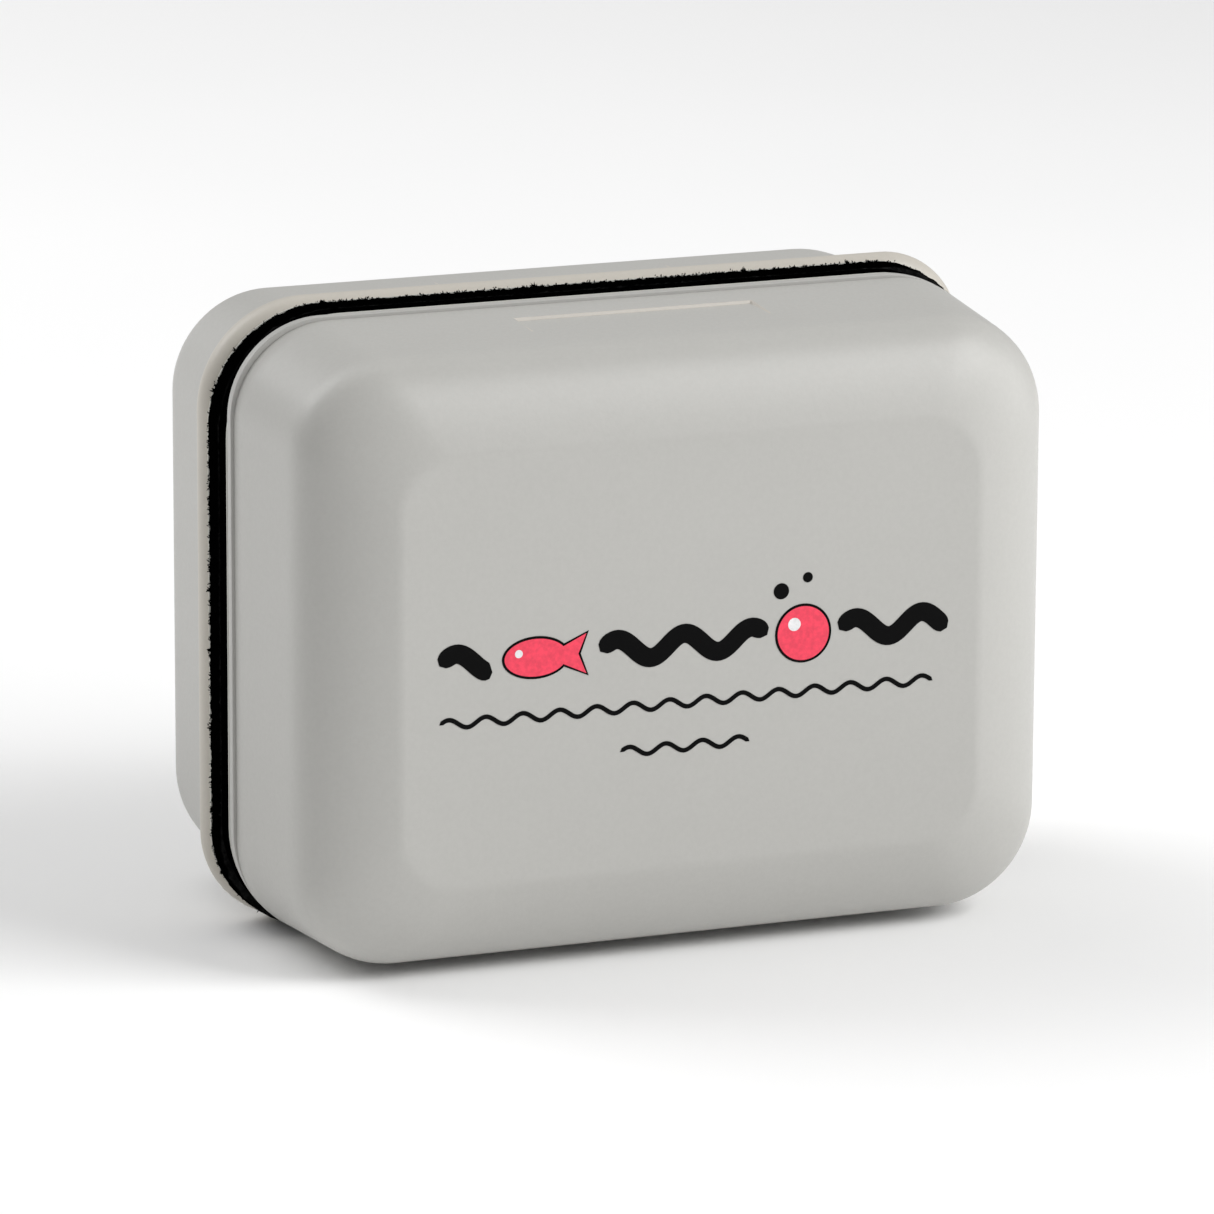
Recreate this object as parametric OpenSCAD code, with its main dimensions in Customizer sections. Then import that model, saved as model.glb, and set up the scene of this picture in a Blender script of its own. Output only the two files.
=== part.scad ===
/* [Halves] */
// Width of the handle half, across its base plate
body_w = 110; // [96:1:150]
// Height of the handle half, across its base plate
body_h = 85.8; // [76:0.2:120]
// How far the float's base plate stands proud of the handle's at each end
float_lip = 0.4; // [0:0.1:1]
// How far it stands proud at the top
float_rise = 0.4; // [0:0.1:1]
// Gap between the two base plates, filled by the pads
pad_gap = 8; // [6.5:0.1:11]

/* [Shells] */
// Depth of a half from its base plate's pad side to where the rounding starts
side_depth = 21.5; // [19:0.5:28]
// Depth of the rounding between a shell's side and its flat face
round_depth = 9.3; // [8:0.1:12]
// Width of that rounding, measured in from the side
round_w = 12.2; // [9:0.1:12.2]
// Turn of that rounding, in degrees: 90 meets the flat face smoothly, and less leaves a soft edge
round_turn = 61; // [50:1:90]
// Draft of the shell's sides, in degrees
draft = 3.5; // [1:0.1:3.5]
// Wall thickness of both shells
wall = 2.2; // [1.8:0.1:2.6]
// Corner radii of the handle's shell at its rim: lower left, upper left, lower right, upper right
handle_shell_radii = [14.5, 13.3, 14.5, 14.5]; // [13:0.1:18]
// Corner radii of the float's shell at its rim
float_shell_radii = [14.2, 14.2, 14.2, 14.2]; // [13:0.1:18]
// Corner radius of the flat faces; the corners widen from it to their radii at the rim
face_corner_r = 7.5; // [2:0.5:9]
// Step from the handle's base plate edge in to its shell
handle_step = 0.3; // [0:0.1:1]
// Step from the float's rounded bead in to its shell
float_step = 1.5; // [0.8:0.1:2]
// Width of the accessory seat in the top side of each shell
seat_w = 34; // [20:1:44]
// Distance of the seat from the base plate's pad side
seat_from_rim = 8.2; // [7:0.1:11]
// Depth of the seat where it starts
seat_depth = 0.4; // [0.3:0.1:0.9]

/* [Base plates] */
// Corner radii of the handle's base plate: lower left, upper left, lower right, upper right
handle_plate_radii = [16, 13, 16, 16]; // [12:0.5:17]
// Corner radii of the float's base plate
float_plate_radii = [13, 15, 13, 11.5]; // [11:0.5:15]
// Thickness of the handle's base plate edge
handle_edge_t = 2.2; // [1.8:0.1:3]
// Thickness of the float's rounded bead
float_bead_t = 4; // [3:0.1:4.5]
// Thickness of the floor under the magnets
floor_t = 1.8; // [1.2:0.1:1.8]

/* [Magnets] */
// Width of one magnet block
magnet_w = 27; // [20:1:30]
// Height of one magnet block
magnet_h = 21; // [16:1:24]
// Thickness of one magnet block
magnet_t = 7; // [5:0.5:8]
// Thickness of the steel yoke over the magnets
yoke_t = 1.2; // [1:0.1:2]

/* [Pads] */
// Thickness of the handle's felt pad
felt_t = 3.3; // [2:0.1:3.4]
// Inset of both pads from the edge of the handle's base plate
pad_inset = 0.15; // [0.15:0.05:3]
// Corner radii of the felt pad: lower left, upper left, lower right, upper right
felt_radii = [16, 16, 16, 16]; // [13:0.5:20]
// Corner radii of the scrub pad
scrub_radii = [13.5, 16, 13.5, 13.5]; // [13:0.5:20]
// Thickness of the adhesive film under each pad
film_t = 0.2; // [0.1:0.1:0.3]

/* [Hidden] */
// Free space left between the two pads, so that they touch without biting
pad_play = 0.3;
// Thickness of the float's scrub pad, which fills the rest of the gap
scrub_t = pad_gap - felt_t - 2 * film_t - pad_play;
// Outer size of the float's base plate, which stands level with the handle's at the bottom
float_w = body_w + 2 * float_lip;
float_h = body_h + float_rise;
// Total depth of one half
half_depth = side_depth + round_depth;
// Edge roundings of the base plates
handle_edge_r = 0.6;
float_edge_r = 1.9;
// Locating rib of a base plate: play to the shell, thickness and height
rib_play = 0.35;
rib_t = 1.6;
rib_h = 3;
// Magnet nest on the base plate: play round a block, and the nest's wall
nest_play = 0.2;
nest_wall = 1.6;
// Rib of the nest between two blocks
nest_rib = 3;
nest_h = 5;
// Yoke and foam overlap of the magnet group, and the foam's thickness
yoke_margin = 1.5;
foam_t = 3;
foam_margin = -4;
// Cross ribs inside a shell that press on the foam
press_rib_t = 1.8;
press_rib_x = 46;
press_rib_y = 34;
// Small overlap that joins two solids of one piece
bite = 0.6;
// Segments of a full circle where a hull takes it, and steps of a rounding
hull_fn = 48;
plan_fn = 72;
round_steps = 12;
slice = 0.01;
bead_fn = 24;

// Where the magnets sit, as offsets from the middle of a half
magnet_x = (magnet_w + 2 * nest_play + nest_rib) / 2;
magnet_y = (magnet_h + 2 * nest_play + nest_rib) / 2;
group_w = 2 * magnet_x + magnet_w;
group_h = 2 * magnet_y + magnet_h;
magnet_top = floor_t + magnet_t;
yoke_top = magnet_top + yoke_t;
foam_top = yoke_top + foam_t;

// Colours of the pieces
shell_colour = [0.74, 0.73, 0.70];
plate_colour = [0.80, 0.77, 0.71];
magnet_colour = [0.62, 0.63, 0.65];
steel_colour = [0.50, 0.52, 0.54];
foam_colour = [0.30, 0.30, 0.32];
film_colour = [0.85, 0.85, 0.80];
felt_colour = [0.04, 0.04, 0.045];
scrub_colour = [0.06, 0.06, 0.06];

// Inset of a shell's drafted side at depth d, measured from the base plate's pad side
function draft_inset(d) = d * tan(draft);

// Outline of a shell's side as [inset, depth] pairs, from depth low up to its flat face
function side_profile(low, rise_w, rise_d, top) =
    let (shoulder = top - rise_d, side = draft_inset(shoulder))
    concat(
        [[draft_inset(low), low], [side, shoulder]],
        [for (i = [1:round_steps])
            let (
                a = round_turn * i / round_steps,
                across = rise_w * (1 - cos(a)) / (1 - cos(round_turn)),
                up = rise_d * sin(a) / sin(round_turn)
            )
            [side + across, shoulder + up]]
    );

// Corner radii at an inset, on the way from the rim's radii to the flat face's at inset full
function blend_radii(radii, inset, full) = [for (r = radii) r + (face_corner_r - r) * inset / full];

// Radii of a parallel outline that lies inset further in
function inset_radii(radii, inset) = [for (r = radii) r - inset];

// Children at the centres of a w by h rectangle's rounded corners, whose radius they read from $r
module at_corners(w, h, radii) {
    for (i = [0, 1], j = [0, 1]) {
        $r = radii[2 * i + j];
        translate([(2 * i - 1) * (w / 2 - $r), (2 * j - 1) * (h / 2 - $r), 0]) children();
    }
}

// Pillow with drafted sides and rounded edges: w by h at depth 0
module pillow(w, h, radii, low, rise_w, rise_d, top) {
    profile = side_profile(low, rise_w, rise_d, top);
    full = profile[len(profile) - 1][0];
    hull() for (p = profile)
        translate([0, 0, min(p[1], top - slice)])
            linear_extrude(slice)
                at_corners(w - 2 * p[0], h - 2 * p[0], blend_radii(radii, p[0], full))
                    circle($r, $fn = hull_fn);
}

// Rounded rectangle in plan
module plan(w, h, radii) {
    hull() at_corners(w, h, radii) circle($r, $fn = plan_fn);
}

// Plate with a rounded rectangle plan and edges rounded by edge_r
module rounded_plate(w, h, radii, t, edge_r) {
    hull() at_corners(w, h, radii)
        rotate_extrude($fn = hull_fn) {
            square([$r - edge_r, t]);
            translate([0, edge_r]) square([$r, t - 2 * edge_r]);
            for (y = [edge_r, t - edge_r])
                translate([$r - edge_r, y]) circle(edge_r, $fn = bead_fn);
        }
}

// Moulded shell, open at depth rim, with the accessory seat and inner press ribs
module shell(w, h, radii, rim) {
    seat_y = h / 2 - draft_inset(seat_from_rim) - seat_depth;
    difference() {
        pillow(w, h, radii, rim, round_w, round_depth, half_depth);
        pillow(
            w - 2 * wall, h - 2 * wall, inset_radii(radii, wall), rim - bite,
            round_w - wall, round_depth - wall, half_depth - wall
        );
        translate([-seat_w / 2, seat_y, seat_from_rim]) cube([seat_w, wall, half_depth]);
    }
    translate([-press_rib_x / 2, -press_rib_t / 2, foam_top])
        cube([press_rib_x, press_rib_t, half_depth - wall + bite - foam_top]);
    translate([-press_rib_t / 2, -press_rib_y / 2, foam_top])
        cube([press_rib_t, press_rib_y, half_depth - wall + bite - foam_top]);
}

// Nest walls that hold the four magnets, standing on the floor
module magnet_nest() {
    translate([0, 0, floor_t - bite]) difference() {
        linear_extrude(nest_h + bite)
            square([group_w + 2 * (nest_play + nest_wall), group_h + 2 * (nest_play + nest_wall)], center = true);
        for (sx = [-1, 1], sy = [-1, 1])
            translate([sx * magnet_x, sy * magnet_y, bite])
                linear_extrude(nest_h + bite)
                    square([magnet_w + 2 * nest_play, magnet_h + 2 * nest_play], center = true);
    }
}

// Base plate: rounded edge, hollowed to the floor inside the rim, locating rib and nest
module base_plate(w, h, radii, t, edge_r, step, shell_radii) {
    mouth_w = w - 2 * (step + wall + draft_inset(t + rib_h) + rib_play);
    mouth_h = h - 2 * (step + wall + draft_inset(t + rib_h) + rib_play);
    mouth_radii = inset_radii(shell_radii, wall + rib_play);
    difference() {
        union() {
            rounded_plate(w, h, radii, t, edge_r);
            translate([0, 0, t - bite])
                linear_extrude(rib_h + bite) plan(mouth_w, mouth_h, mouth_radii);
        }
        translate([0, 0, floor_t])
            linear_extrude(t + rib_h)
                plan(mouth_w - 2 * rib_t, mouth_h - 2 * rib_t, inset_radii(mouth_radii, rib_t));
    }
    magnet_nest();
}

// One magnet block, at column sx and row sy of the group
module magnet(sx, sy) {
    translate([sx * magnet_x - magnet_w / 2, sy * magnet_y - magnet_h / 2, floor_t])
        cube([magnet_w, magnet_h, magnet_t]);
}

// Steel plate that closes the magnets' field away from the glass
module yoke() {
    translate([0, 0, magnet_top])
        linear_extrude(yoke_t)
            square([group_w + 2 * yoke_margin, group_h + 2 * yoke_margin], center = true);
}

// Foam between the yoke and the shell's ribs
module press_foam() {
    translate([0, 0, yoke_top])
        linear_extrude(foam_t)
            square([group_w + 2 * foam_margin, group_h + 2 * foam_margin], center = true);
}

// Flat layer on a base plate's pad side, from depth low outwards by t, its middle at height y
module pad_layer(y, low, t, radii) {
    translate([0, y, -low - t])
        linear_extrude(t) plan(body_w - 2 * pad_inset, body_h - 2 * pad_inset, radii);
}

// Places a half on the front side of the glass plane, with its bottom edge at height 0
module on_handle() {
    translate([0, -pad_gap / 2, body_h / 2]) rotate([90, 0, 0]) children();
}

// Places a half on the back side of the glass plane, with its bottom edge at height 0
module on_float() {
    translate([0, pad_gap / 2, float_h / 2]) mirror([0, 1, 0]) rotate([90, 0, 0]) children();
}

module handle_shell()
    color(shell_colour) on_handle()
        shell(body_w - 2 * handle_step, body_h - 2 * handle_step, handle_shell_radii, handle_edge_t);

module handle_base_plate()
    color(plate_colour) on_handle()
        base_plate(
            body_w, body_h, handle_plate_radii,
            handle_edge_t, handle_edge_r, handle_step, handle_shell_radii
        );

module handle_magnet(sx, sy) color(magnet_colour) on_handle() magnet(sx, sy);

module handle_steel_yoke() color(steel_colour) on_handle() yoke();

module handle_press_foam() color(foam_colour) on_handle() press_foam();

module handle_pad_adhesive() color(film_colour) on_handle() pad_layer(0, 0, film_t, felt_radii);

module handle_felt_pad() color(felt_colour) on_handle() pad_layer(0, film_t, felt_t, felt_radii);

module float_shell()
    color(shell_colour) on_float()
        shell(float_w - 2 * float_step, float_h - 2 * float_step, float_shell_radii, float_bead_t);

module float_base_plate()
    color(plate_colour) on_float()
        base_plate(
            float_w, float_h, float_plate_radii,
            float_bead_t, float_edge_r, float_step, float_shell_radii
        );

module float_magnet(sx, sy) color(magnet_colour) on_float() magnet(sx, sy);

module float_steel_yoke() color(steel_colour) on_float() yoke();

module float_press_foam() color(foam_colour) on_float() press_foam();

module float_pad_adhesive()
    color(film_colour) on_float() pad_layer(-float_rise / 2, 0, film_t, scrub_radii);

module float_scrub_pad()
    color(scrub_colour) on_float() pad_layer(-float_rise / 2, film_t, scrub_t, scrub_radii);

handle_shell();
handle_base_plate();
handle_magnet(-1, 1);  // handle_magnet_upper_left
handle_magnet(1, 1);  // handle_magnet_upper_right
handle_magnet(-1, -1);  // handle_magnet_lower_left
handle_magnet(1, -1);  // handle_magnet_lower_right
handle_steel_yoke();
handle_press_foam();
handle_pad_adhesive();
handle_felt_pad();
float_shell();
float_base_plate();
float_magnet(-1, 1);  // float_magnet_upper_left
float_magnet(1, 1);  // float_magnet_upper_right
float_magnet(-1, -1);  // float_magnet_lower_left
float_magnet(1, -1);  // float_magnet_lower_right
float_steel_yoke();
float_press_foam();
float_pad_adhesive();
float_scrub_pad();
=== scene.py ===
"""Magnetic glass cleaner: its looks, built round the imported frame. Metres, in the frame's own axes."""

import math

import bmesh
import bpy
import numpy as np
from mathutils import Matrix, Vector


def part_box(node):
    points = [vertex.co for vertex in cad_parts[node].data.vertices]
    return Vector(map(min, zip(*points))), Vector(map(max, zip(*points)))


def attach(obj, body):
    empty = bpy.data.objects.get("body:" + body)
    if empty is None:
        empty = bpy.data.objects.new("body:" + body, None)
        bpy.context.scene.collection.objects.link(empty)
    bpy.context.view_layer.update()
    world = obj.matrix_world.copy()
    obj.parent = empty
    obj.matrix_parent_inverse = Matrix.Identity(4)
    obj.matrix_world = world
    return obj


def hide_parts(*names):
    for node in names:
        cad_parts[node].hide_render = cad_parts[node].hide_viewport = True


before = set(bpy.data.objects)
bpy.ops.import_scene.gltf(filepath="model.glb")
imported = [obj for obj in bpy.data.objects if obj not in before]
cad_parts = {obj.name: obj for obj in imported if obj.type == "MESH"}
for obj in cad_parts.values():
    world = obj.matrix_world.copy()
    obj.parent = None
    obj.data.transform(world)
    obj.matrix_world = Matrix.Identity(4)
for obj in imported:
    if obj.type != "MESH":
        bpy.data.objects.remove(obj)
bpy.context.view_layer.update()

MM = 0.001
RNG = np.random.default_rng(20261)

# ---------------------------------------------------------------- sizes shared with the part
# A shell's sides lean in by DRAFT as far as SIDE_DEPTH. A rounding of ROUND_DEPTH by ROUND_W follows,
# and its turn of less than 90 degrees leaves a soft edge at the flat face.
DRAFT = math.tan(math.radians(3.5))
SIDE_DEPTH = 21.5 * MM
ROUND_DEPTH = 9.3 * MM
ROUND_W = 12.2 * MM
ROUND_TURN = math.radians(61)
FACE_INSET = SIDE_DEPTH * DRAFT + ROUND_W
FACE_CORNER = 7.5 * MM
HALF_DEPTH = SIDE_DEPTH + ROUND_DEPTH
WALL = 2.2 * MM
# The accessory seat in a shell's top
SEAT_W = 34 * MM
SEAT_FROM = 8.2 * MM
SEAT_DEEP = 0.4 * MM
# The rib on a base plate that centres its shell
RIB_PLAY = 0.35 * MM
RIB_T = 1.6 * MM
RIB_H = 3 * MM
# The walls round the magnets
NEST_H = 5 * MM
NEST_WALL = 1.6 * MM
NEST_PLAY = 0.2 * MM
# The cross ribs inside a shell
PRESS_RIB_T = 1.8 * MM
PRESS_RIB_X = 46 * MM
PRESS_RIB_Y = 34 * MM

# ---------------------------------------------------------------- camera
CAM_AZ = math.radians(-21.2937)
CAM_EL = math.radians(14.0476)
CAM_ROLL = math.radians(0.2618)
CAM_TARGET = Vector((0, 0, 42.9 * MM))
CAM_DIST = 1083.90 * MM
CAM_ACROSS = 1.012 * MM
CAM_UP = -1.802 * MM
CAM_LENS = 235.33
CAM_SENSOR = 36.0
CAM_CLIP = (0.01, 50.0)


# ---------------------------------------------------------------- plan outlines
def plan_ring(w, h, radii, cols, rows=8, arc=20):
    """Points of a rounded rectangle, counter-clockwise from the left end of its lower side.

    radii are the corners' radii from lower right counter-clockwise, or one number for all four.
    cols are the places of the points on the long sides, or how many there are, evenly spread.
    Rings made with the same counts join point to point."""
    lr, ur, ul, ll = radii if isinstance(radii, tuple) else (radii,) * 4

    def side(lo, hi, count):
        return list(np.linspace(lo, hi, count + 2)[1:-1])

    below = side(ll - w / 2, w / 2 - lr, cols) if isinstance(cols, int) else list(cols)
    above = side(ul - w / 2, w / 2 - ur, cols) if isinstance(cols, int) else list(cols)
    turn = np.linspace(0, math.pi / 2, arc + 1)
    pts = [(x, -h / 2) for x in below]
    pts += [(w / 2 - lr + lr * math.sin(a), lr - h / 2 - lr * math.cos(a)) for a in turn]
    pts += [(w / 2, y) for y in side(lr - h / 2, h / 2 - ur, rows)]
    pts += [(w / 2 - ur + ur * math.cos(a), h / 2 - ur + ur * math.sin(a)) for a in turn]
    pts += [(x, h / 2) for x in reversed(above)]
    pts += [(ul - w / 2 - ul * math.sin(a), h / 2 - ul + ul * math.cos(a)) for a in turn]
    pts += [(-w / 2, y) for y in reversed(side(ll - h / 2, h / 2 - ul, rows))]
    pts += [(ll - w / 2 - ll * math.cos(a), ll - h / 2 - ll * math.sin(a)) for a in turn]
    return np.array(pts)


def inset_radii(radii, inset, least):
    """Corner radii of a parallel outline that lies inset further in."""
    return tuple(max(r - inset, least) for r in radii)


def at_depth(ring, depth):
    """A plan ring as 3-D points at one depth, or at one depth per point."""
    return np.column_stack([ring, np.broadcast_to(depth, len(ring))])


def rounding(steps, across, along, turn=math.pi / 2):
    """(inset, rise) of an elliptical rounding from its upright start; a turn of 90 degrees ends level."""
    wide, high = across / (1 - math.cos(turn)), along / math.sin(turn)
    turns = [turn * k / steps for k in range(1, steps + 1)]
    return [(wide * (1 - math.cos(a)), high * math.sin(a)) for a in turns]


def smooth_step(t):
    """Rises smoothly from 0 to 1 as t does, and stays there."""
    t = np.clip(t, 0, 1)
    return t * t * (3 - 2 * t)


# ---------------------------------------------------------------- mesh helpers
def mesh_object(name, verts, faces, sharp=40):
    """Mesh object with outward normals, smooth except over edges sharper than the given angle."""
    mesh = bpy.data.meshes.new(name)
    mesh.from_pydata([tuple(v) for v in verts], [], faces)
    bm = bmesh.new()
    bm.from_mesh(mesh)
    bmesh.ops.recalc_face_normals(bm, faces=bm.faces)
    bm.to_mesh(mesh)
    bm.free()
    mesh.polygons.foreach_set("use_smooth", [True] * len(mesh.polygons))
    mesh.set_sharp_from_angle(angle=math.radians(sharp))
    obj = bpy.data.objects.new(name, mesh)
    bpy.context.scene.collection.objects.link(obj)
    return obj


def loft(rings):
    """(verts, faces) of a closed solid through rings of equal counts, with flat ends."""
    n = len(rings[0])
    faces = []
    for k in range(len(rings) - 1):
        a, b = k * n, (k + 1) * n
        faces += [(a + i, a + (i + 1) % n, b + (i + 1) % n, b + i) for i in range(n)]
    faces.append(tuple(range(n - 1, -1, -1)))
    faces.append(tuple(range((len(rings) - 1) * n, len(rings) * n)))
    return np.concatenate(rings), faces


def merged(parts):
    """Several (verts, faces) solids as one."""
    verts, faces, base = [], [], 0
    for v, f in parts:
        verts.append(np.asarray(v, float))
        faces += [tuple(base + i for i in face) for face in f]
        base += len(v)
    return np.concatenate(verts), faces


def block(lo, hi, soft):
    """A small box with chamfered edges, as (verts, faces)."""
    lo, hi = np.array(lo, float), np.array(hi, float)
    size, mid = hi - lo, (lo + hi) / 2
    rings = []
    low, high = lo[2], hi[2]
    for inset, z in ((soft, low), (0, low + soft), (0, high - soft), (soft, high)):
        ring = plan_ring(size[0] - 2 * inset, size[1] - 2 * inset, soft, 1, rows=1, arc=3)
        rings.append(at_depth(ring + mid[:2], z))
    return loft(rings)


# ---------------------------------------------------------------- one half
class Half:
    """One half's own axes: x, height from its middle, and depth outward from its base plate's pad side.

    side is the sign of its y. edge_softs are the roundings of the plate's edge on its pad side and its
    shell side."""

    def __init__(self, name, side, edge_softs, shell_radii, plate_radii):
        self.name, self.side, self.edge_softs = name, side, edge_softs
        self.shell_radii, self.plate_radii = shell_radii, plate_radii
        lo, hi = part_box(name + "_base_plate")
        self.rim_y = abs(hi.y if side < 0 else lo.y)
        self.mid_z = (lo.z + hi.z) / 2
        self.plate_w, self.plate_h = hi.x - lo.x, hi.z - lo.z
        lo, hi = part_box(name + "_shell")
        self.edge_t = abs(hi.y if side < 0 else lo.y) - self.rim_y
        self.shell_w = hi.x - lo.x + 2 * self.edge_t * DRAFT
        self.shell_h = hi.z - lo.z + 2 * self.edge_t * DRAFT

    def depths(self, node):
        """Nearest and furthest depth of a CAD node."""
        lo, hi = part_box(self.name + "_" + node)
        near, far = sorted(y * self.side - self.rim_y for y in (lo.y, hi.y))
        return near, far

    def place(self, verts, mid_z=None):
        """Points given as (x, height, depth), in the frame's axes."""
        v = np.asarray(verts, float)
        z = self.mid_z if mid_z is None else mid_z
        return np.column_stack([v[:, 0], self.side * (self.rim_y + v[:, 2]), z + v[:, 1]])


def corner_radii(*radii):
    """Radii in millimetres of the lower right, upper right, upper left and lower left corners."""
    return tuple(r * MM for r in radii)


HANDLE = Half("handle", -1, (1.0 * MM, 0.1 * MM), corner_radii(14.5, 14.5, 13.3, 14.5),
              corner_radii(16, 16, 13, 16))
FLOAT = Half("float", 1, (2.4 * MM, 1.4 * MM), corner_radii(14.2, 14.2, 14.2, 14.2),
             corner_radii(13, 11.5, 15, 13))


# ---------------------------------------------------------------- shells
RIM_SOFT = 0.08 * MM
# Width of the seat's soft walls, and how far either side the rounding's bend sets in
SEAT_SOFT = 0.28 * MM
EASE = 2.0 * MM
EASE_SAMPLES = 33
# Distance between the flat face's border and the ring inside it, which keeps the face's shading flat
FACE_RING = 0.6 * MM
# Depths of the rings on a side, close together at the seat's start and before the rounding
SEAT_ROWS = SEAT_FROM + np.array([-1.6, *np.linspace(-1.2, 1.2, 11)]) * SEAT_SOFT
SIDE_ROWS = [d * MM for d in (10, 12.5, 15, 17.5, 18.8, 19.4, 20.2, 20.9)]
OUTER_ROWS = [6 * MM, *SEAT_ROWS, *SIDE_ROWS, SIDE_DEPTH]
CAVITY_ROWS = [6 * MM, 12 * MM, SIDE_DEPTH]
# Columns of points on the long sides: how far they reach, and their least distance
COLUMN_REACH = 32 * MM
COLUMN_GAP = 0.05 * MM
# Rings in the softened rim, in the rounding's outside and in its cavity
RIM_STEPS, ROUND_STEPS, CAVITY_STEPS = 3, 26, 12
INNER_SOFT = 0.3 * MM


def column_positions():
    """Columns of the long sides, close together at the seat's two end walls."""
    steps = np.linspace(-1.4, 1.4, 11) * SEAT_SOFT
    even = np.linspace(-COLUMN_REACH, COLUMN_REACH, 19)
    keep = []
    for x in sorted([*even, *(steps - SEAT_W / 2), *(steps + SEAT_W / 2)]):
        if not keep or x - keep[-1] > COLUMN_GAP:
            keep.append(x)
    return keep


COLUMNS = column_positions()


def outer_profile(start):
    """(inset, depth) of a shell's outside from its softened rim to its flat face."""
    inset = start * DRAFT + RIM_SOFT
    out = [(inset, start)]
    out += [(inset - i, start + d) for d, i in rounding(RIM_STEPS, RIM_SOFT, RIM_SOFT)]
    out += [(d * DRAFT, d) for d in OUTER_ROWS]
    bend = len(out) - 1
    for i, d in rounding(ROUND_STEPS, ROUND_W, ROUND_DEPTH, ROUND_TURN):
        out.append((SIDE_DEPTH * DRAFT + i, SIDE_DEPTH + d))
    return eased(np.array(out), bend, EASE)


def cavity_profile(start):
    """(inset, depth) of a shell's cavity, measured inside its wall."""
    out = [(d * DRAFT, d) for d in (start, *CAVITY_ROWS)]
    for i, d in rounding(CAVITY_STEPS, ROUND_W - WALL, ROUND_DEPTH - WALL, ROUND_TURN):
        out.append((SIDE_DEPTH * DRAFT + i, SIDE_DEPTH + d))
    return out


def eased(line, bend, reach):
    """A line of points whose curvature sets in gently, over reach to either side of the point bend."""
    along = np.concatenate([[0], np.cumsum(np.linalg.norm(np.diff(line, axis=0), axis=1))])
    smooth = np.zeros_like(line)
    for axis in (0, 1):
        for offset in np.linspace(-reach, reach, EASE_SAMPLES):
            smooth[:, axis] += np.interp(along + offset, along, line[:, axis]) / EASE_SAMPLES
    near = smooth_step((3 * reach - np.abs(along - along[bend])) / (2 * reach))[:, None]
    return line + near * (smooth - line)


def blend_radii(radii, inset, full):
    """Corner radii at an inset, on the way from the rim's to the flat face's at inset full."""
    return tuple(r + (FACE_CORNER - r) * inset / full for r in radii)


def with_seat(ring, depth, h):
    """Presses the accessory seat into the upper side of a shell's ring."""
    floor = h / 2 - SEAT_FROM * DRAFT - SEAT_DEEP
    inside = smooth_step((SEAT_W / 2 + SEAT_SOFT / 2 - np.abs(ring[:, 0])) / SEAT_SOFT)
    inside = inside * smooth_step((depth - SEAT_FROM + SEAT_SOFT / 2) / SEAT_SOFT)
    pressed = ring.copy()
    pressed[:, 1] -= np.maximum(ring[:, 1] - floor, 0) * inside
    return pressed


def press_ribs(half):
    """The cross inside a shell that presses on the foam."""
    low, top = half.depths("press_foam")[1], HALF_DEPTH - WALL / 2
    x, y, t = PRESS_RIB_X / 2, PRESS_RIB_Y / 2, PRESS_RIB_T / 2
    corners = (((-x, -t, low), (x, t, top)), ((-t, -y, low), (t, y, top)))
    return [block(lo, hi, INNER_SOFT) for lo, hi in corners]


def shell_solid(half):
    """A shell's closed wall, with the seat and the press ribs."""
    w, h = half.shell_w, half.shell_h
    outer, inner = [], []
    for inset, d in outer_profile(half.edge_t):
        radii = blend_radii(half.shell_radii, inset, FACE_INSET)
        ring = plan_ring(w - 2 * inset, h - 2 * inset, radii, COLUMNS)
        if d < SIDE_DEPTH:
            ring = with_seat(ring, d, h)
        outer.append(at_depth(ring, d))
    flat = FACE_INSET + FACE_RING
    ring = plan_ring(w - 2 * flat, h - 2 * flat, FACE_CORNER - FACE_RING, COLUMNS)
    outer.append(at_depth(ring, HALF_DEPTH))
    for inset, d in cavity_profile(half.edge_t):
        radii = blend_radii(inset_radii(half.shell_radii, WALL, 0), inset, FACE_INSET - WALL)
        inset += WALL
        ring = plan_ring(w - 2 * inset, h - 2 * inset, radii, COLUMNS)
        inner.append(at_depth(ring, d))
    verts, faces = merged([loft(inner[::-1] + outer)] + press_ribs(half))
    return mesh_object(half.name + "_shell_moulding", half.place(verts), faces)


def paint_seat_highlight(obj, half, mat):
    """Paints a highlight on the seat's low walls by giving their faces a paler plastic."""
    obj.data.materials.append(mat)
    reach, run, top_zone = 0.6 * SEAT_SOFT, 6 * MM, 3 * MM
    for face in obj.data.polygons:
        x, y, z = face.center
        depth = y * half.side - half.rim_y
        if z < half.mid_z + half.shell_h / 2 - top_zone or depth > SEAT_FROM + run:
            continue
        start = abs(depth - SEAT_FROM) < reach and abs(x) < SEAT_W / 2 + reach
        end = abs(abs(x) - SEAT_W / 2) < reach and depth > SEAT_FROM - reach
        if start or end:
            # Painted highlight: these wall faces take the paler plastic
            face.material_index = 1


# ---------------------------------------------------------------- base plates
# Inset of the ring that closes the plate's pad side, and the least corner radius of its rings
PLATE_FLAT = 6 * MM
PLATE_CORNER = 4 * MM
EDGE_STEPS = 10
NEST_SOFT = 0.25 * MM
# How far the nest reaches into the floor under it
BITE = 0.6 * MM


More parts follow.
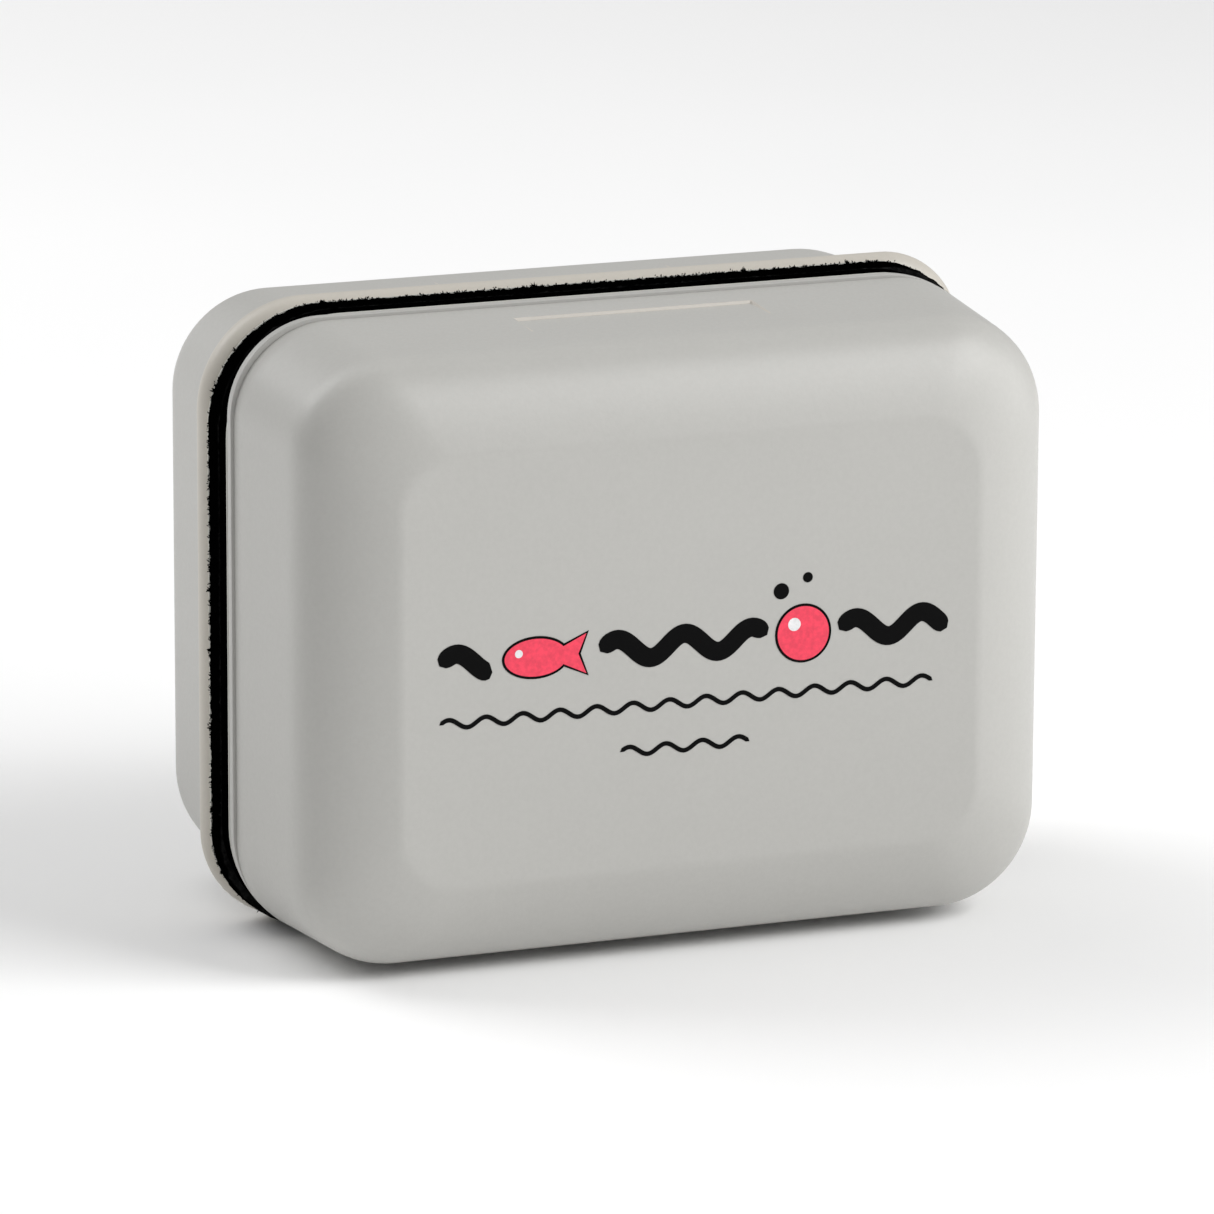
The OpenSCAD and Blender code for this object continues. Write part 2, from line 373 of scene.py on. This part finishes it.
def magnet_nest(half):
    """Walls round the four magnets and between them, standing on the floor."""
    lo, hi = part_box(half.name + "_magnet_upper_right")
    floor = half.depths("magnet_upper_right")[0]
    x, y = hi.x + NEST_PLAY, hi.z + NEST_PLAY - half.mid_z
    mid_x, mid_y = lo.x - NEST_PLAY, lo.z - NEST_PLAY - half.mid_z
    end_x, end_y = x + NEST_WALL, y + NEST_WALL
    low, top = floor - BITE, floor + NEST_H
    walls = []
    for x0, x1 in ((-end_x, -x), (-mid_x, mid_x), (x, end_x)):
        walls.append(block((x0, -end_y, low), (x1, end_y, top), NEST_SOFT))
    for y0, y1 in ((-end_y, -y), (-mid_y, mid_y), (y, end_y)):
        walls.append(block((-end_x, y0, low), (end_x, y1, top), NEST_SOFT))
    return walls


def edge_rounding(soft):
    """(inset, depth) of an edge rounded by soft, from the flat side to the upright edge."""
    return [(soft, 0)] + [(soft - d, i) for i, d in rounding(EDGE_STEPS, soft, soft)]


def plate_solid(half):
    """A base plate with its rounded edge, the rib for its shell and the magnets' nest."""
    w, h, t = half.plate_w, half.plate_h, half.edge_t
    pad_side, shell_side = half.edge_softs
    floor = half.depths("magnet_upper_right")[0]
    lower = edge_rounding(pad_side)
    upper = [(i, t - d) for i, d in edge_rounding(shell_side)]
    mouth = (w - half.shell_w) / 2 + WALL + (t + RIB_H) * DRAFT + RIB_PLAY
    profile = [(PLATE_FLAT, 0)] + lower + upper[::-1]
    profile += [(mouth, t), (mouth, t + RIB_H), (mouth + RIB_T, t + RIB_H), (mouth + RIB_T, floor)]
    rings = []
    for inset, d in profile:
        radii = inset_radii(half.plate_radii, inset, PLATE_CORNER)
        rings.append(at_depth(plan_ring(w - 2 * inset, h - 2 * inset, radii, COLUMNS[::3]), d))
    verts, faces = merged([loft(rings)] + magnet_nest(half))
    return mesh_object(half.name + "_base_plate_moulding", half.place(verts), faces, 50)


# ---------------------------------------------------------------- pads
# A pad's rounded and bevelled edges, and the insets of its back, its matted rings and its flat face
PAD_SOFT = 0.4 * MM
PAD_NICK = 0.1 * MM
PAD_BACK = 8 * MM
PAD_MATTED = (1.2 * MM, 2.6 * MM)
PAD_FLAT = 4 * MM
# Counts of points round a pad's outline, on its body and where its edge fibres stand
BODY_GRID = {"cols": 230, "rows": 170, "arc": 36}
ROOT_GRID = {"cols": 200, "rows": 150, "arc": 30}
# How far inside the outline and under the face fibres are rooted, and how a clump is scattered
ROOT_IN = 0.15 * MM
ROOT_UNDER = 0.05 * MM
CLUMP_SCATTER = 0.12 * MM
# Rings of a fibre as (share of its length, share of its thickness), and its largest bend
FIBRE_RINGS = ((0.0, 1.0), (0.55, 0.8))
FIBRE_BEND = 0.4
ASKEW = (0.3, 0.5, 0.81)
THIRDS = (0, 2 * math.pi / 3, 4 * math.pi / 3)


class Pad:
    """Size, corners and place of one glued pad, read from its CAD node."""

    def __init__(self, half, node, radii):
        lo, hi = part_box(half.name + "_" + node)
        self.half, self.radii = half, radii
        self.w, self.h = hi.x - lo.x, hi.z - lo.z
        self.mid_z = (lo.z + hi.z) / 2
        self.back = -half.depths(node)[1]
        self.face = -half.depths(node)[0]

    def place(self, verts):
        """Places points given as (x, height, distance in front of the base plate)."""
        v = np.asarray(verts, float) * (1, 1, -1)
        return self.half.place(v, self.mid_z)


def pad_body(pad, edge_wave, face_wave):
    """The pad's block, with soft ragged edges and a matted face."""
    t = pad.face - pad.back
    profile = [(PAD_BACK, 0.0), (PAD_SOFT, 0.0), (PAD_NICK, PAD_NICK), (0.0, PAD_SOFT)]
    profile += [(0.0, t * k / 8) for k in range(2, 7)]
    profile += [(0.0, t - PAD_SOFT), (PAD_NICK, t - PAD_NICK), (PAD_SOFT, t)]
    profile += [(inset, t) for inset in (*PAD_MATTED, PAD_FLAT)]
    rings = []
    for inset, d in profile:
        radii = inset_radii(pad.radii, inset, 0)
        ring = plan_ring(pad.w - 2 * inset, pad.h - 2 * inset, radii, **BODY_GRID)
        out = ring / np.linalg.norm(ring, axis=1)[:, None]
        depth = np.full(len(ring), pad.back + d)
        if d > 0 and inset <= PAD_SOFT:
            ring = ring + out * RNG.normal(-edge_wave / 2, edge_wave, len(ring))[:, None]
        if inset in PAD_MATTED:
            depth -= np.abs(RNG.normal(0, face_wave, len(ring)))
        rings.append(at_depth(ring, depth))
    return loft(rings)


def fibres(roots, directions, lengths, thick, bends):
    """Closed three-sided fibres that taper to a point, as (verts, faces)."""
    verts, faces = [], []
    for root, direction, long, bend in zip(roots, directions, lengths, bends):
        d = direction / np.linalg.norm(direction)
        side = np.cross(d, ASKEW)
        side /= np.linalg.norm(side)
        up = np.cross(d, side)
        base = len(verts)
        for along, scale in FIBRE_RINGS:
            centre = root + d * along * long + bend * along * along
            for a in THIRDS:
                verts.append(centre + scale * thick * (math.cos(a) * side + math.sin(a) * up))
        verts.append(root + d * long + bend)
        faces.append((base + 2, base + 1, base))
        for j in range(3):
            n = (j + 1) % 3
            faces.append((base + j, base + n, base + 3 + n, base + 3 + j))
            faces.append((base + 3 + j, base + 3 + n, base + 6))
    return np.array(verts), faces


def edge_fibres(pad, count, reach, lengths, thick, spread, lean=0.0, clump=1):
    """Fibres standing out of a pad's edge at distances reach in front of the base plate, in clumps.

    They lean toward the pad's face by lean, or toward its back where that is negative."""
    ring = plan_ring(pad.w - 2 * ROOT_IN, pad.h - 2 * ROOT_IN, pad.radii, **ROOT_GRID)
    after = np.roll(ring, -1, 0)
    ends = np.cumsum(np.linalg.norm(after - ring, axis=1))
    k = np.searchsorted(ends, RNG.uniform(0, ends[-1], count))
    share = RNG.uniform(0, 1, count)[:, None]
    run = after[k] - ring[k]
    out = np.column_stack([run[:, 1], -run[:, 0]])
    out /= np.linalg.norm(out, axis=1)[:, None] + 1e-12
    here = ring[k] + run * share
    roots = np.column_stack([here, RNG.uniform(*reach, count)])
    directions = np.column_stack([out, np.full(count, lean)])
    roots, directions = np.repeat(roots, clump, 0), np.repeat(directions, clump, 0)
    total = count * clump
    roots = roots + RNG.normal(0, CLUMP_SCATTER if clump > 1 else 0, (total, 3)) * (1, 1, 0.6)
    directions = directions + RNG.normal(0, spread, (total, 3))
    long = RNG.uniform(*lengths, total)
    bends = RNG.uniform(-FIBRE_BEND, FIBRE_BEND, (total, 3)) * long[:, None]
    return fibres(roots, directions, long, thick, bends)


def face_fibres(pad, count, lengths, thick, lift):
    """Fibres that lie matted over a pad's face."""
    margin = (1 + FIBRE_BEND) * lengths[1]
    x = RNG.uniform(-pad.w / 2 + margin, pad.w / 2 - margin, count)
    y = RNG.uniform(-pad.h / 2 + margin, pad.h / 2 - margin, count)
    r = max(pad.radii)
    over_x = np.maximum(np.abs(x) - (pad.w / 2 - r), 0)
    over_y = np.maximum(np.abs(y) - (pad.h / 2 - r), 0)
    keep = np.hypot(over_x, over_y) < r - margin
    x, y = x[keep], y[keep]
    count = len(x)
    turn = RNG.uniform(0, 2 * math.pi, count)
    roots = np.column_stack([x, y, np.full(count, pad.face - ROOT_UNDER)])
    directions = np.column_stack([np.cos(turn), np.sin(turn), RNG.uniform(0.02, lift, count)])
    long = RNG.uniform(*lengths, count)
    bends = RNG.uniform(-FIBRE_BEND, FIBRE_BEND, (count, 3)) * long[:, None] * (1, 1, 0)
    bends[:, 2] = -directions[:, 2] * long
    return fibres(roots, directions, long, thick, bends)


def felt_pad():
    """Dense fine felt with a clean, close-cut edge."""
    pad = Pad(HANDLE, "felt_pad", corner_radii(16, 16, 16, 16))
    side = (pad.back + 0.3 * MM, pad.face)
    verts, faces = merged([
        pad_body(pad, edge_wave=0.05 * MM, face_wave=0.04 * MM),
        edge_fibres(pad, 5200, side, (0.15 * MM, 0.35 * MM), thick=0.022 * MM, spread=0.5),
        face_fibres(pad, 7000, (0.8 * MM, 1.8 * MM), thick=0.03 * MM, lift=0.10)])
    return mesh_object("felt_pad_soft", pad.place(verts), faces, 60)


def scrub_pad():
    """Coarser matted fibre with a ragged edge and tufts along its back."""
    pad = Pad(FLOAT, "scrub_pad", corner_radii(13.5, 13.5, 16, 13.5))
    side, back = (pad.back, pad.face), (pad.back, pad.back + 0.2 * MM)
    short, long = (0.12 * MM, 0.3 * MM), (0.3 * MM, 0.55 * MM)
    verts, faces = merged([
        pad_body(pad, edge_wave=0.09 * MM, face_wave=0.06 * MM),
        edge_fibres(pad, 9000, side, short, thick=0.04 * MM, spread=0.7),
        edge_fibres(pad, 700, back, short, thick=0.09 * MM, spread=0.5, lean=-0.9, clump=5),
        edge_fibres(pad, 14, back, long, thick=0.1 * MM, spread=0.3, lean=-0.6, clump=14),
        face_fibres(pad, 9000, (1.5 * MM, 3.5 * MM), thick=0.06 * MM, lift=0.10)])
    return mesh_object("scrub_pad_bristle", pad.place(verts), faces, 60)


# ---------------------------------------------------------------- print on the handle's face
# Thickness of the dark ink, of each ink over it, and how deep all are rooted in the face
INK = 0.05 * MM
INK_LAYER = 0.02 * MM
INK_ROOT = 0.06 * MM
# Step of a tail under its body, which keeps the two from sharing a surface
TAIL_STEP = 0.004 * MM
# Waves as (rise, length, width)
STROKE_WAVE = (1.45 * MM, 9.6 * MM, 2.6 * MM)
THIN_WAVE = (0.6 * MM, 5.2 * MM, 0.6 * MM)
WAVE_STEP = 0.35 * MM
WAVE_TIP = 0.01 * MM
# Points of a wave at least, of a disc and of a fish's body
WAVE_LEAST, DISC_POINTS, FISH_POINTS = 24, 48, 56
# Places on the face, from its middle, and sizes of the shapes
PRINT_LEFT, PRINT_RIGHT = -36 * MM, 36.5 * MM
STROKES = ((PRINT_LEFT, -28.6 * MM), (-13.4 * MM, 10.4 * MM), (20.8 * MM, PRINT_RIGHT))
THIN_LINES = ((PRINT_LEFT, PRINT_RIGHT - 2 * MM, -6.6 * MM), (-10.5 * MM, 8 * MM, -12.6 * MM))
STROKE_Y = 1.4 * MM
FISH_X, BUBBLE_X = -22.5 * MM, 15.6 * MM
FISH_SIZE, BUBBLE_R = 4.4 * MM, 3.7 * MM
OUTLINE = 0.35 * MM
# Discs as (to the right of, above, radius): two by the large bubble, its highlight, and the fish's eye
SMALL_BUBBLES = ((-3.2 * MM, 6 * MM, 1.1 * MM), (0.6 * MM, 7.6 * MM, 0.7 * MM))
HIGHLIGHT = (-1.3 * MM, 1.3 * MM, 0.9 * MM)
EYE = (-2.4 * MM, 0.7 * MM, 0.55 * MM)
# Shares of a fish's half length: its body's half height, and its tail's ends, half heights and notch
BODY_HIGH = 0.58
TAIL_ROOT, TAIL_TIP, TAIL_STEM, TAIL_SPREAD, TAIL_NOTCH = 0.72, 1.62, 0.2, 0.62, 0.26


def prism(outline, top):
    """Thin closed ink shape with the given plan outline, rooted in the face."""
    ring = np.asarray(outline, float)
    return loft([at_depth(ring, HALF_DEPTH - INK_ROOT), at_depth(ring, HALF_DEPTH + top)])


def wave(x0, x1, y, rise, length, width):
    """A wavy stroke with round ends, as (verts, faces)."""
    count = max(int((x1 - x0) / WAVE_STEP), WAVE_LEAST)
    x = np.linspace(x0, x1, count)
    turn = 2 * math.pi * (x - x0) / length
    mid = y + rise * np.sin(turn)
    slope = rise * 2 * math.pi / length * np.cos(turn)
    reach = np.minimum(x - x0, x1 - x)
    half = width / 2 * np.sqrt(1 - np.clip(1 - reach / (width / 2), 0, 1) ** 2) + WAVE_TIP
    across = np.column_stack([-slope, np.ones(count)]) / np.sqrt(1 + slope ** 2)[:, None]
    line = np.column_stack([x, mid])
    above, below = line + across * half[:, None], line - across * half[:, None]
    verts, faces = [], []
    for a, b in zip(above, below):
        verts += [(*a, HALF_DEPTH + INK), (*b, HALF_DEPTH + INK)]
        verts += [(*b, HALF_DEPTH - INK_ROOT), (*a, HALF_DEPTH - INK_ROOT)]
    for k in range(count - 1):
        a, b = 4 * k, 4 * k + 4
        faces += [(a + i, a + (i + 1) % 4, b + (i + 1) % 4, b + i) for i in range(4)]
    last = 4 * (count - 1)
    faces += [(3, 2, 1, 0), (last, last + 1, last + 2, last + 3)]
    return np.array(verts), faces


def disc(x, y, r, top):
    """A round ink shape."""
    turns = np.linspace(0, 2 * math.pi, DISC_POINTS, endpoint=False)
    return prism([(x + r * math.cos(a), y + r * math.sin(a)) for a in turns], top)


def fish(x, y, size, grow, top):
    """A plain fish: a pointed oval body that runs into a forked tail, grown outward by grow."""
    body = []
    for a in np.linspace(0, 2 * math.pi, FISH_POINTS, endpoint=False):
        body.append((x + (size + grow) * math.cos(a), y + (BODY_HIGH * size + grow) * math.sin(a)))
    root, tip = x + TAIL_ROOT * size, x + TAIL_TIP * size + grow
    spread = TAIL_SPREAD * size + grow
    stem, notch = TAIL_STEM * size + grow, tip - TAIL_NOTCH * size
    tail = [(root, y - stem), (tip, y - spread), (notch, y), (tip, y + spread), (root, y + stem)]
    return [prism(body, top), prism(tail, top - TAIL_STEP)]


def print_dark():
    """Wave strokes and lines, small bubbles, and the dark outlines under the coloured shapes."""
    parts = [wave(x0, x1, STROKE_Y, *STROKE_WAVE) for x0, x1 in STROKES]
    parts += [wave(x0, x1, y, *THIN_WAVE) for x0, x1, y in THIN_LINES]
    parts += fish(FISH_X, STROKE_Y, FISH_SIZE, OUTLINE, INK)
    parts.append(disc(BUBBLE_X, STROKE_Y, BUBBLE_R + OUTLINE, INK))
    parts += [disc(BUBBLE_X + x, STROKE_Y + y, r, INK) for x, y, r in SMALL_BUBBLES]
    verts, faces = merged(parts)
    return mesh_object("face_print_dark", HANDLE.place(verts), faces)


def print_coral():
    """The fish and the large bubble."""
    top = INK + INK_LAYER
    parts = fish(FISH_X, STROKE_Y, FISH_SIZE, 0, top)
    parts.append(disc(BUBBLE_X, STROKE_Y, BUBBLE_R, top))
    verts, faces = merged(parts)
    return mesh_object("face_print_coral", HANDLE.place(verts), faces)


def print_white():
    """The bubble's highlight and the fish's eye."""
    top = INK + 2 * INK_LAYER
    marks = ((BUBBLE_X, HIGHLIGHT), (FISH_X, EYE))
    verts, faces = merged([disc(at + x, STROKE_Y + y, r, top) for at, (x, y, r) in marks])
    return mesh_object("face_print_white", HANDLE.place(verts), faces)


# ---------------------------------------------------------------- materials
# Scales of the noises, per metre of the object: the higher, the finer
CLOUD, MOTTLE, GRAIN = 70.0, 1300.0, 2200.0
SCRATCH = 900.0
INK_MOTTLE = 1500.0
# Depths of the finest relief: the plastic's grain, and scratches and uneven ink
GRAIN_DEEP = 0.02 * MM
FINE_DEEP = 0.01 * MM
# Fibre changes from the painted shade of its upright edges to its face's colours as its normal's y grows
# from one to the other
FACE_FROM, FACE_TO = 0.55, 0.9


def new_material(name):
    """A material, its node tree and its main shader."""
    mat = bpy.data.materials.new(name)
    mat.use_nodes = True
    tree = mat.node_tree
    return mat, tree, tree.nodes["Principled BSDF"]


def link(tree, a, out, b, into):
    """Joins node a's socket out to node b's socket into."""
    tree.links.new(a.outputs[out], b.inputs[into])


def set_inputs(n, **values):
    """Sets a node's inputs, whose names are written with _ for each space."""
    for name, value in values.items():
        n.inputs[name.replace("_", " ")].default_value = value


def object_noise(tree, scale, detail=4.0, rough=0.6, stretch=None):
    """Noise over the object's own coordinates, which may be stretched along an axis."""
    coord = tree.nodes.new("ShaderNodeTexCoord")
    n = tree.nodes.new("ShaderNodeTexNoise")
    set_inputs(n, Scale=scale, Detail=detail, Roughness=rough)
    if stretch:
        mapping = tree.nodes.new("ShaderNodeMapping")
        set_inputs(mapping, Scale=stretch)
        link(tree, coord, "Object", mapping, "Vector")
        link(tree, mapping, "Vector", n, "Vector")
    else:
        link(tree, coord, "Object", n, "Vector")
    return n


def ramp(tree, source, low, high, at=(0.35, 0.65)):
    """Colours from low to high where a noise goes from the first to the second value of at."""
    n = tree.nodes.new("ShaderNodeValToRGB")
    for stop, place, colour in zip(n.color_ramp.elements, at, (low, high)):
        stop.position = place
        stop.color = (*colour, 1)
    link(tree, source, "Fac", n, "Fac")
    return n


def value_range(tree, source, low, high):
    """Values from low to high over a noise's usual range."""
    n = tree.nodes.new("ShaderNodeMapRange")
    set_inputs(n, From_Min=0.3, From_Max=0.7, To_Min=low, To_Max=high)
    link(tree, source, "Fac", n, "Value")
    return n


def relief(tree, shader, source, strength, distance):
    """Bumps from a noise."""
    n = tree.nodes.new("ShaderNodeBump")
    set_inputs(n, Strength=strength, Distance=distance)
    link(tree, source, "Fac", n, "Height")
    link(tree, n, "Normal", shader, "Normal")


def scaled(colour, factor):
    """A lighter or darker colour."""
    return tuple(c * factor for c in colour)


def spread_ramp(tree, source, colour, spread):
    """Colours that stray from a middle one by the share spread."""
    return ramp(tree, source, scaled(colour, 1 - spread), scaled(colour, 1 + spread))


def colour_mix(tree, first, second):
    """Mix of the colours of two nodes, whose factor is still to be set."""
    mix = tree.nodes.new("ShaderNodeMix")
    mix.data_type = "RGBA"
    link(tree, first, "Color", mix, 6)
    link(tree, second, "Color", mix, 7)
    return mix


def plastic(name, colour, spread, rough):
    """Moulded plastic: slight clouding, a fine mottle and a spark-eroded grain."""
    mat, tree, shader = new_material(name)
    cloud = spread_ramp(tree, object_noise(tree, CLOUD, 3.0), colour, spread)
    mottle = spread_ramp(tree, object_noise(tree, MOTTLE, 3.0, 0.7), colour, 3 * spread)
    mix = colour_mix(tree, cloud, mottle)
    mix.inputs[0].default_value = 0.5
    link(tree, mix, 2, shader, "Base Color")
    fine = object_noise(tree, GRAIN, 2.0)
    link(tree, value_range(tree, fine, rough - 0.05, rough + 0.05), "Result", shader, "Roughness")
    relief(tree, shader, fine, 0.5, GRAIN_DEEP)
    return mat


def metal(name, colour, rough, stretch):
    """Ground or plated metal with fine directional scratches."""
    mat, tree, shader = new_material(name)
    lines = object_noise(tree, SCRATCH, stretch=stretch)
    link(tree, ramp(tree, lines, scaled(colour, 0.88), colour), "Color", shader, "Base Color")
    link(tree, value_range(tree, lines, rough - 0.06, rough + 0.08), "Result", shader, "Roughness")
    set_inputs(shader, Metallic=1.0)
    relief(tree, shader, lines, 0.3, FINE_DEEP)
    return mat


def fibre(name, edge, low, high, scale, deep):
    """Matted fibres: painted shade of colour edge on their upright edges, and mottled from low to high
    over the face.
    """
    mat, tree, shader = new_material(name)
    mottle = object_noise(tree, scale, 6.0, 0.7)
    face = ramp(tree, mottle, low, high, (0.4, 0.75))
    coord = tree.nodes.new("ShaderNodeTexCoord")
    split = tree.nodes.new("ShaderNodeSeparateXYZ")
    link(tree, coord, "Normal", split, "Vector")
    facing = tree.nodes.new("ShaderNodeMath")
    facing.operation = "ABSOLUTE"
    link(tree, split, "Y", facing, 0)
    step = tree.nodes.new("ShaderNodeMapRange")
    set_inputs(step, From_Min=FACE_FROM, From_Max=FACE_TO, To_Min=0.0, To_Max=1.0)
    link(tree, facing, "Value", step, "Value")
    # Painted shade: faces turned from the y axis take the near-black colour edge, faces along it the
    # face's mottle
    mix = colour_mix(tree, ramp(tree, mottle, edge, scaled(edge, 4), (0.55, 0.8)), face)
    link(tree, step, "Result", mix, 0)
    link(tree, mix, 2, shader, "Base Color")
    set_inputs(shader, Roughness=1.0, Specular_IOR_Level=0.0)
    relief(tree, shader, mottle, 0.9, deep)
    return mat


def ink(name, colour, rough, gloss):
    """Pad-printed ink: thin and slightly uneven."""
    mat, tree, shader = new_material(name)
    mottle = object_noise(tree, INK_MOTTLE, 3.0)
    tint = ramp(tree, mottle, scaled(colour, 0.9), scaled(colour, 1.08))
    link(tree, tint, "Color", shader, "Base Color")
    link(tree, value_range(tree, mottle, rough - 0.06, rough + 0.06), "Result", shader, "Roughness")
    set_inputs(shader, Specular_IOR_Level=gloss)
    relief(tree, shader, mottle, 0.2, FINE_DEEP)
    return mat


SHELL_MAT = plastic("satin_grey_plastic", (0.465, 0.460, 0.437), 0.010, 0.42)
# Paler plastic painted on the seat's walls as a painted highlight
SEAT_HIGHLIGHT_MAT = plastic("painted_highlight_plastic", (0.54, 0.51, 0.46), 0.010, 0.40)
HANDLE_PLATE_MAT = plastic("plate_grey_plastic", (0.43, 0.425, 0.405), 0.010, 0.42)
FLOAT_PLATE_MAT = plastic("plate_cream_plastic", (0.53, 0.50, 0.445), 0.010, 0.42)
MAGNET_MAT = metal("nickel_plate", (0.66, 0.63, 0.58), 0.22, (1.0, 1.0, 1.0))
STEEL_MAT = metal("ground_steel", (0.52, 0.53, 0.54), 0.34, (0.05, 1.0, 1.0))
# Each fibre's first colour is painted shade for its upright edges
FELT_MAT = fibre("black_felt", (0.0002, 0.0002, 0.0002), (0.004, 0.004, 0.0045),
                 (0.014, 0.014, 0.015), 1800.0, 0.2 * MM)
SCRUB_MAT = fibre("black_scrub", (0.0003, 0.0003, 0.0003), (0.004, 0.004, 0.004),
                  (0.022, 0.022, 0.022), 900.0, 0.4 * MM)
FOAM_MAT = fibre("grey_foam", (0.02, 0.02, 0.02), (0.02, 0.02, 0.022),
                 (0.05, 0.05, 0.055), 1400.0, 0.2 * MM)
FILM_MAT = plastic("adhesive_film", (0.60, 0.60, 0.55), 0.02, 0.5)
INK_DARK_MAT = ink("ink_dark", (0.0006, 0.0006, 0.0007), 0.5, 0.08)
INK_CORAL_MAT = ink("ink_coral", (0.86, 0.06, 0.11), 0.45, 0.3)
INK_WHITE_MAT = ink("ink_white", (0.82, 0.82, 0.83), 0.45, 0.3)


# ---------------------------------------------------------------- pieces on their bodies
def dress(obj, mat, body, slot, *cad_nodes):
    """Gives a piece its material and body, and hides the CAD nodes that it stands for."""
    obj.data.materials.append(mat)
    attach(obj, body)
    if cad_nodes:
        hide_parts(*cad_nodes)
    return obj


def cad_materials():
    """Materials of the CAD nodes that stay visible when the object is taken apart."""
    kinds = {"magnet": MAGNET_MAT, "yoke": STEEL_MAT, "foam": FOAM_MAT, "adhesive": FILM_MAT}
    for name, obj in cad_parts.items():
        for kind, mat in kinds.items():
            if kind in name:
                obj.data.materials.clear()
                obj.data.materials.append(mat)


for half in (HANDLE, FLOAT):
    body, node = half.name + "_half", half.name + "_shell"
    shell = dress(shell_solid(half), SHELL_MAT, body, "shell_plastic", node)
    paint_seat_highlight(shell, half, SEAT_HIGHLIGHT_MAT)
dress(plate_solid(HANDLE), HANDLE_PLATE_MAT, "handle_half", "handle_plate_plastic", "handle_base_plate")
dress(plate_solid(FLOAT), FLOAT_PLATE_MAT, "float_half", "float_plate_plastic", "float_base_plate")
felt = dress(felt_pad(), FELT_MAT, "handle_half", "felt", "handle_felt_pad")
scrub = dress(scrub_pad(), SCRUB_MAT, "float_half", "scrub_fibre", "float_scrub_pad")
dress(print_dark(), INK_DARK_MAT, "handle_half", "ink_dark")
dress(print_coral(), INK_CORAL_MAT, "handle_half", "ink_coral")
dress(print_white(), INK_WHITE_MAT, "handle_half", "ink_white")
cad_materials()


# ---------------------------------------------------------------- floor, light and camera
FLOOR_SIZE = 8.0
LIGHT_DIST = 1.4
LIGHT_SIZE = 0.8
LIGHT_AIM = Vector((0, 0, 40 * MM))
AMBIENT = 0.34
# Soft boxes as (name, degrees to the right of the front, degrees up, watts)
SOFT_BOXES = (
    ("key_high_right", 45, 38, 12.8),
    ("key_low_right", 70, 8, 5.8),
    ("fill_back_left", -135, 38, 7.6),
    ("top_back_left", -150, 66, 2.5),
    ("rim_back_left", -165, 8, 1.3),
)


def studio_floor():
    """The pale floor under the object."""
    bpy.ops.mesh.primitive_plane_add(size=FLOOR_SIZE, location=(0, 0, 0))
    obj = bpy.context.object
    obj.name = "studio_floor"
    mat, tree, shader = new_material("pale_floor")
    tint = ramp(tree, object_noise(tree, 3.0, 2.0), (0.96, 0.96, 0.96), (0.98, 0.98, 0.98))
    link(tree, tint, "Color", shader, "Base Color")
    set_inputs(shader, Roughness=0.9, Specular_IOR_Level=0.1)
    obj.data.materials.append(mat)


def direction(az, el):
    """Unit vector toward a place at az to the right of the object's front and el up, in radians."""
    return Vector((math.sin(az) * math.cos(el), -math.cos(az) * math.cos(el), math.sin(el)))


def soft_box(name, az, el, power):
    """A square soft light aimed at the object, az degrees to the right of the front and el degrees up."""
    light = bpy.data.lights.new(name, "AREA")
    light.shape = "SQUARE"
    light.size = LIGHT_SIZE
    light.energy = power
    obj = bpy.data.objects.new(name, light)
    bpy.context.scene.collection.objects.link(obj)
    toward = direction(math.radians(az), math.radians(el))
    obj.location = LIGHT_AIM + LIGHT_DIST * toward
    obj.rotation_euler = (-toward).to_track_quat("-Z", "Y").to_euler()


def lighting():
    """Even light from all round, and the soft boxes."""
    world = bpy.data.worlds.new("studio")
    bpy.context.scene.world = world
    world.use_nodes = True
    set_inputs(world.node_tree.nodes["Background"], Color=(1, 1, 1, 1), Strength=AMBIENT)
    for box in SOFT_BOXES:
        soft_box(*box)


def camera():
    """A long lens at the height and side from which the object is shown, turned by a slight roll."""
    toward = direction(CAM_AZ, CAM_EL)
    level = Vector((math.cos(CAM_AZ), math.sin(CAM_AZ), 0))
    upright = toward.cross(level)
    right = math.cos(CAM_ROLL) * level + math.sin(CAM_ROLL) * upright
    up = math.cos(CAM_ROLL) * upright - math.sin(CAM_ROLL) * level
    data = bpy.data.cameras.new("camera")
    data.sensor_width = CAM_SENSOR
    data.lens = CAM_LENS
    data.clip_start, data.clip_end = CAM_CLIP
    obj = bpy.data.objects.new("camera", data)
    bpy.context.scene.collection.objects.link(obj)
    place = CAM_TARGET + CAM_DIST * toward + CAM_ACROSS * right + CAM_UP * up
    obj.matrix_world = Matrix.Translation(place) @ Matrix((right, up, toward)).transposed().to_4x4()
    bpy.context.scene.camera = obj


studio_floor()
lighting()
camera()
bpy.context.scene.view_settings.view_transform = "Standard"
